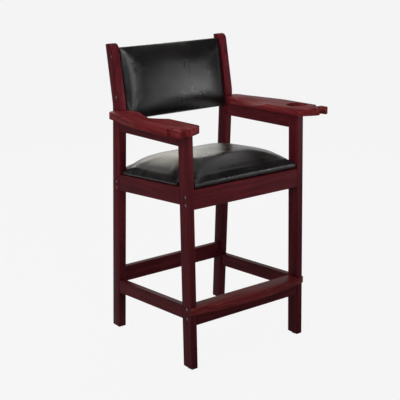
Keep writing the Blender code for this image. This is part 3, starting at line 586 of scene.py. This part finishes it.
def back_seam(place):
    """Short pulls that run in from the border of the face."""
    across, up = place.x, (place - panel_middle).dot(upward)
    from_side, from_end = BACK_HALF_WIDE - abs(across), BACK_HALF_HIGH - abs(up)
    edge = min(from_side, from_end)
    run = across if from_end < from_side else up
    pull = noise.noise((run * BACK_PULLS[0], edge * BACK_PULLS[1], 5.0))
    face = share(((place - panel_middle).dot(ahead) - FACE_FROM) / FACE_OVER)
    return face * BACK_PULL_DEPTH * pull * max(0.0, 1 - edge / BACK_PULL_REACH)


back = foam_shape("back_cushion_cover", "back_cushion", ("back_board", "back_shell"), voxel=0.007)
for point in back.data.vertices:
    across = point.co.x / BACK_HALF_WIDE
    up = (point.co - panel_middle).dot(upward) / BACK_HALF_HIGH
    beside_post = max(0.0, (abs(across) - ROLL_OFF_FROM) / (1 - ROLL_OFF_FROM)) ** 2
    dome = DOME_MIDDLE - DOME * min(1.0, across * across + 0.5 * up * up) - ROLL_OFF * beside_post
    point.co += ahead * dome * back_free(point.co)
settle(back, back_free, turns=5)
inflate(back, back_free, swell=0.0025)

# The panel is flat while the cushion is cut to fit it, and then its rear face swells
panel = drawn_in("back_shell", "back_panel_cover", panel_cover, upward, PANEL_SET_IN)
dressed(back, (back_board, panel), "back_cushion", back_cover, back_seam)
edit_all(panel)
bpy.ops.mesh.tris_convert_to_quads()
bpy.ops.mesh.subdivide(number_cuts=6)
bpy.ops.object.mode_set(mode="OBJECT")
for point in panel.data.vertices:
    if (point.co - panel_middle).dot(ahead) < 0:
        across = 1 - (point.co.x / PANEL_HALF_WIDE) ** 2
        up = 1 - ((point.co - panel_middle).dot(upward) / PANEL_HALF_HIGH) ** 2
        point.co -= ahead * PANEL_SWELL * share(across * EDGE_STEEPNESS) * share(up * EDGE_STEEPNESS)
smooth(panel, 40)


# Connector bolts: zinc-plated steel with a flat head and a 4 mm hexagon socket, sunk in the legs.
# A cross nut lies in the rail's end, or a threaded insert in the back board. The plating is a
# cool bright grey with a cloudy haze.
HEAD_RADIUS = 0.0064
HEAD_HEIGHT = 0.0025
HEAD_EASING = 0.0007
SOCKET_RADIUS = 0.0023
SOCKET_FLOOR = -0.0008      # measured from the underside of the head, as all places along the bolt
SHANK_RADIUS = 0.0029
SHANK_LENGTH = 0.0595
SHANK_START = -0.0002       # a little inside the head
NUT_RADIUS = 0.0049
NUT_LENGTH = 0.0158
NUT_PLACE = 0.051
INSERT_START = 0.0425
CUT_OVERRUN = 0.001
HAZE_WIDTH = 0.002
zinc, tree, shader = new_material("steel_zinc_plated")
place = add_node(tree, "ShaderNodeTexCoord")
haze = add_node(tree, "ShaderNodeTexNoise", {
    "Vector": (place, "Object"), "Scale": 1 / HAZE_WIDTH, "Detail": 3.0})
gloss = add_node(tree, "ShaderNodeMapRange", {"Value": (haze, "Fac"), "To Min": 0.18, "To Max": 0.42})
tone = add_node(tree, "ShaderNodeValToRGB", {"Fac": (haze, "Fac")},
                ramp=[(0.3, "#6d6f72"), (0.7, "#939598")])
set_inputs(tree, shader, {
    "Base Color": (tone, "Color"), "Roughness": (gloss, "Result"), "Metallic": 1.0})


def closed_rod(radius, start, end, sides=24, easing=0.0004):
    """A rod along Z with eased rims."""
    bpy.ops.mesh.primitive_cylinder_add(vertices=sides, radius=radius, depth=end - start,
                                        location=(0, 0, (start + end) / 2))
    rod = bpy.context.object
    rim = rod.modifiers.new("rim", "BEVEL")
    rim.width, rim.segments = easing, 2
    rim.limit_method, rim.angle_limit = "ANGLE", math.radians(60)
    apply_modifier(rod, rim)
    bpy.ops.object.transform_apply()
    return rod


patterns = {}
for kind in ("cross_nut", "insert"):
    head = closed_rod(HEAD_RADIUS, -HEAD_HEIGHT, 0, sides=40, easing=HEAD_EASING)
    cut(head, closed_rod(SOCKET_RADIUS, -HEAD_HEIGHT - CUT_OVERRUN, SOCKET_FLOOR, sides=6, easing=0.0001))
    shank = closed_rod(SHANK_RADIUS, SHANK_START, SHANK_LENGTH)
    if kind == "cross_nut":
        nut = closed_rod(NUT_RADIUS, -NUT_LENGTH / 2, NUT_LENGTH / 2)
        across = Matrix.Rotation(math.pi / 2, 4, "X")
        nut.data.transform(Matrix.Translation((0, 0, NUT_PLACE)) @ across)
    else:
        nut = closed_rod(NUT_RADIUS, INSERT_START, SHANK_LENGTH)
    patterns[kind] = joined([head, shank, nut], kind + "_pattern")
    smooth(patterns[kind], 35)

for node in [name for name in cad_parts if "_bolt_" in name]:
    low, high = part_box(node)
    hand = 1 if low.x > 0 else -1
    outer = high.x if hand > 0 else low.x
    # Local Z runs into the timber and local Y lies fore and aft, as the nut does
    into = Matrix(((0, 0, -hand), (0, 1, 0), (hand, 0, 0))).to_4x4()
    seat_of_head = (outer - hand * HEAD_HEIGHT, (low.y + high.y) / 2, (low.z + high.z) / 2)
    pattern = patterns["insert" if node.startswith("back_bolt") else "cross_nut"]
    bolt = new_piece(node + "_fitting", pattern.data)
    bolt.data.transform(Matrix.Translation(seat_of_head) @ into)
    take_place(bolt, node, zinc)
for pattern in patterns.values():
    bpy.data.objects.remove(pattern, do_unlink=True)


# Wood screws: two up into each arm board, two into the footrest board and one through each corner
# block into the seat board, of the same zinc-plated steel.
for node in [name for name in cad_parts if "_screw_" in name]:
    finish_node(node, zinc)


# Floor glides: black nylon discs moulded round a nail and driven into each foot, a little domed
# at the rim. The nylon is matt from the mould, with a fine uneven grain.
DISC_HEIGHT = 0.004
DISC_EASING = 0.0010
NAIL_RADIUS = 0.0015
NAIL_START = 0.0038
MOULD_GRAIN = 0.0006
MOULD_RELIEF = 0.0002
nylon, tree, shader = new_material("nylon_black_moulded")
place = add_node(tree, "ShaderNodeTexCoord")
speckle = add_node(tree, "ShaderNodeTexNoise", {
    "Vector": (place, "Object"), "Scale": 1 / MOULD_GRAIN, "Detail": 1.0})
tone = add_node(tree, "ShaderNodeValToRGB", {"Fac": (speckle, "Fac")},
                ramp=[(0.2, "#161413"), (0.8, "#2a2624")])
relief = add_node(tree, "ShaderNodeBump", {
    "Height": (speckle, "Fac"), "Strength": 0.25, "Distance": MOULD_RELIEF})
set_inputs(tree, shader, {
    "Base Color": (tone, "Color"), "Normal": (relief, "Normal"), "Roughness": 0.5})
for node in [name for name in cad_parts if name.startswith("floor_glide")]:
    low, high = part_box(node)
    disc = closed_rod((high.x - low.x) / 2, 0, DISC_HEIGHT, sides=48, easing=DISC_EASING)
    nail = closed_rod(NAIL_RADIUS, NAIL_START, high.z, sides=12, easing=0.0003)
    glide = joined([disc, nail], node + "_moulded")
    glide.data.transform(Matrix.Translation(((low.x + high.x) / 2, (low.y + high.y) / 2, 0)))
    smooth(glide, 35)
    take_place(glide, node, nylon)


# Dust cover: thin black non-woven polypropylene stapled under the seat board, its corners cut back
# for the corner blocks. It sags a couple of millimetres inside its staples and is matt, with a
# pattern of welded dots.
CORNER_NIP = 0.082
CLOTH_THICKNESS = 0.0003
CLOTH_LIFT = 0.0001         # over the CAD sheet's underside
SAG = 0.0018
SAG_FULL_AT = 0.08          # this far inside the cloth's edge
RIPPLE = 0.0005
RIPPLES = 16                # a metre
STAPLED_EDGE = 0.01         # from the edge to here the cloth leaves the board
DOT_SPACING = 0.0025
DOT_RELIEF = 0.0002
non_woven, tree, shader = new_material("polypropylene_non_woven_black")
place = add_node(tree, "ShaderNodeTexCoord")
dots = add_node(tree, "ShaderNodeTexVoronoi", {
    "Vector": (place, "Object"), "Scale": 1 / DOT_SPACING, "Randomness": 0.15})
tone = add_node(tree, "ShaderNodeValToRGB", {"Fac": (dots, "Distance")},
                ramp=[(0.15, "#0d0d0d"), (0.45, "#232222")])
relief = add_node(tree, "ShaderNodeBump", {
    "Height": (dots, "Distance"), "Strength": 0.4, "Distance": DOT_RELIEF})
set_inputs(tree, shader, {
    "Base Color": (tone, "Color"), "Normal": (relief, "Normal"), "Roughness": 0.92})

low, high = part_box("dust_cover")
wide, deep = high.x - low.x, high.y - low.y
middle = Matrix.Translation(((low.x + high.x) / 2, (low.y + high.y) / 2, 0))
bpy.ops.object.select_all(action="DESELECT")
bpy.ops.mesh.primitive_grid_add(x_subdivisions=60, y_subdivisions=50, size=1)
cloth = bpy.context.object
cloth.name = "dust_cover_cloth"
cloth.data.transform(middle @ Matrix.Diagonal((wide, deep, 1, 1)))
edit_all(cloth)
for side in (1, -1):
    for end, edge in ((1, high.y), (-1, low.y)):
        bpy.ops.mesh.select_all(action="SELECT")
        bpy.ops.mesh.bisect(plane_co=(side * wide / 2, edge - end * CORNER_NIP, 0),
                            plane_no=(side, end, 0), clear_outer=True)
bpy.ops.object.mode_set(mode="OBJECT")
for point in cloth.data.vertices:
    inside = min(wide / 2 - abs(point.co.x), high.y - point.co.y, point.co.y - low.y)
    ripple = abs(noise.noise((point.co.x * RIPPLES, point.co.y * RIPPLES, 1.0)))
    fall = SAG * min(1.0, inside / SAG_FULL_AT) + RIPPLE * ripple
    board_underside = low.z + SEAT_RISE * (high.y - point.co.y)
    point.co.z = board_underside + CLOTH_LIFT - fall * min(1.0, inside / STAPLED_EDGE)
thickness = cloth.modifiers.new("thickness", "SOLIDIFY")
thickness.thickness, thickness.offset = CLOTH_THICKNESS, 1
apply_modifier(cloth, thickness)
smooth(cloth, 40)
take_place(cloth, "dust_cover", non_woven)


# Setting: a pale paper sweep in a dim room. A large soft box stands high at the left, one hangs
# overhead and a warm one stands behind. Four small ones, three of them gridded, give the dull
# sheens on the leather. The camera has the photograph's place and lens.
FLOOR_SIZE = 80
FLOOR_MIRRORED = 0.6        # how much of the floor's own light a reflection shows
FLOOR_GLOW = 0.95           # how much of it the camera sees; the rest is lit paper and keeps the shadow
BACKDROP = (0.6, 0.8, 0)    # reflections find the pale backdrop in this direction
LAMPS = (                   # name, place, aim, size in metres, watts, spread in degrees, tint
    ("key_softbox_left", (-2.7, -0.4, 2.7), (0, 0, 0.8), 1.5, 28, 180, "#ffffff"),
    ("gridded_softbox_left", (-3.0, -1.2, 1.7), (-0.2, 0, 1.1), 1.0, 1.4, 30, "#ffffff"),
    ("gridded_softbox_front", (-0.45, -3.2, 1.6), (-0.28, 0.2, 1.08), 0.9, 0.7, 30, "#ffffff"),
    ("upper_softbox_front", (-0.6, -1.6, 2.2), (-0.15, 0, 1.0), 0.7, 1.9, 60, "#ffffff"),
    ("gridded_softbox_front_right", (2.25, -2.35, 0.84), (0, 0.2, 1.05), 0.9, 1.5, 35, "#ffffff"),
    ("back_softbox_warm", (1.3, 2.8, 1.9), (0, 0, 0.75), 1.4, 13, 180, "#fff8e6"),
    ("top_softbox", (0, 0.2, 3.8), (0, 0, 0.7), 1.8, 25, 180, "#ffffff"))
CAMERA_PLACE = (-2.3252, -2.9753, 1.6830)
CAMERA_VIEW = (0.5835, 0.7610, -0.2833)


def shows_backdrop(tree, mirror):
    """A node that is 1 for what the camera sees, also through glass, and `mirror` for what gloss shows."""
    ray = add_node(tree, "ShaderNodeLightPath")
    mirrored = add_node(tree, "ShaderNodeMath", {
        0: (ray, "Is Glossy Ray"), 1: mirror}, operation="MULTIPLY")
    direct = add_node(tree, "ShaderNodeMath", {
        0: (ray, "Is Camera Ray"), 1: (mirrored, "Value")}, operation="MAXIMUM")
    return add_node(tree, "ShaderNodeMath", {
        0: (direct, "Value"), 1: (ray, "Is Transmission Ray")}, operation="MAXIMUM")


bpy.ops.object.select_all(action="DESELECT")
bpy.ops.mesh.primitive_plane_add(size=FLOOR_SIZE)
floor = bpy.context.object
floor.name = "studio_floor"
sweep, tree, shader = new_material("paper_sweep_pale")
tree.nodes.remove(shader)
seen = shows_backdrop(tree, FLOOR_MIRRORED)
glowing = add_node(tree, "ShaderNodeMath", {0: (seen, "Value"), 1: FLOOR_GLOW}, operation="MULTIPLY")
paper = add_node(tree, "ShaderNodeBsdfDiffuse", {"Color": colour("#e6e6e6")})
glow = add_node(tree, "ShaderNodeEmission", {"Color": colour("#f9f9f9"), "Strength": 1.0})
blend = add_node(tree, "ShaderNodeMixShader", {
    0: (glowing, "Value"), 1: (paper, "BSDF"), 2: (glow, "Emission")})
set_inputs(tree, tree.nodes["Material Output"], {"Surface": (blend, "Shader")})
floor.data.materials.append(sweep)

world = bpy.data.worlds.new("studio")
bpy.context.scene.world = world
world.use_nodes = True
tree = world.node_tree
direction = add_node(tree, "ShaderNodeTexCoord")
toward = add_node(tree, "ShaderNodeVectorMath", {
    0: (direction, "Generated"), 1: BACKDROP}, operation="DOT_PRODUCT")
behind = add_node(tree, "ShaderNodeMapRange", {
    "Value": (toward, "Value"), "From Min": 0.45, "From Max": 0.85}, interpolation_type="SMOOTHSTEP")
seen = shows_backdrop(tree, (behind, "Result"))
room = add_node(tree, "ShaderNodeBackground", {"Color": colour("#f4f2f0"), "Strength": 0.07})
pale = add_node(tree, "ShaderNodeBackground", {"Color": colour("#f6f6f6"), "Strength": 1.0})
blend = add_node(tree, "ShaderNodeMixShader", {
    0: (seen, "Value"), 1: (room, "Background"), 2: (pale, "Background")})
set_inputs(tree, tree.nodes["World Output"], {"Surface": (blend, "Shader")})

for name, place, aim, size, watts, spread, tint in LAMPS:
    lamp = bpy.data.lights.new(name, "AREA")
    lamp.shape, lamp.size, lamp.energy, lamp.spread = "SQUARE", size, watts, math.radians(spread)
    lamp.color = colour(tint)[:3]
    stand = bpy.data.objects.new(name, lamp)
    bpy.context.scene.collection.objects.link(stand)
    stand.location = place
    stand.rotation_euler = (Vector(aim) - Vector(place)).to_track_quat("-Z", "Y").to_euler()

camera_data = bpy.data.cameras.new("camera")
camera_data.lens, camera_data.sensor_width = 88.445, 36
camera_data.shift_x, camera_data.shift_y = 0.00029, -0.00142
camera = bpy.data.objects.new("camera", camera_data)
bpy.context.scene.collection.objects.link(camera)
camera.location = CAMERA_PLACE
camera.rotation_euler = Vector(CAMERA_VIEW).to_track_quat("-Z", "Y").to_euler()
bpy.context.scene.camera = camera
bpy.context.scene.view_settings.view_transform = "Standard"
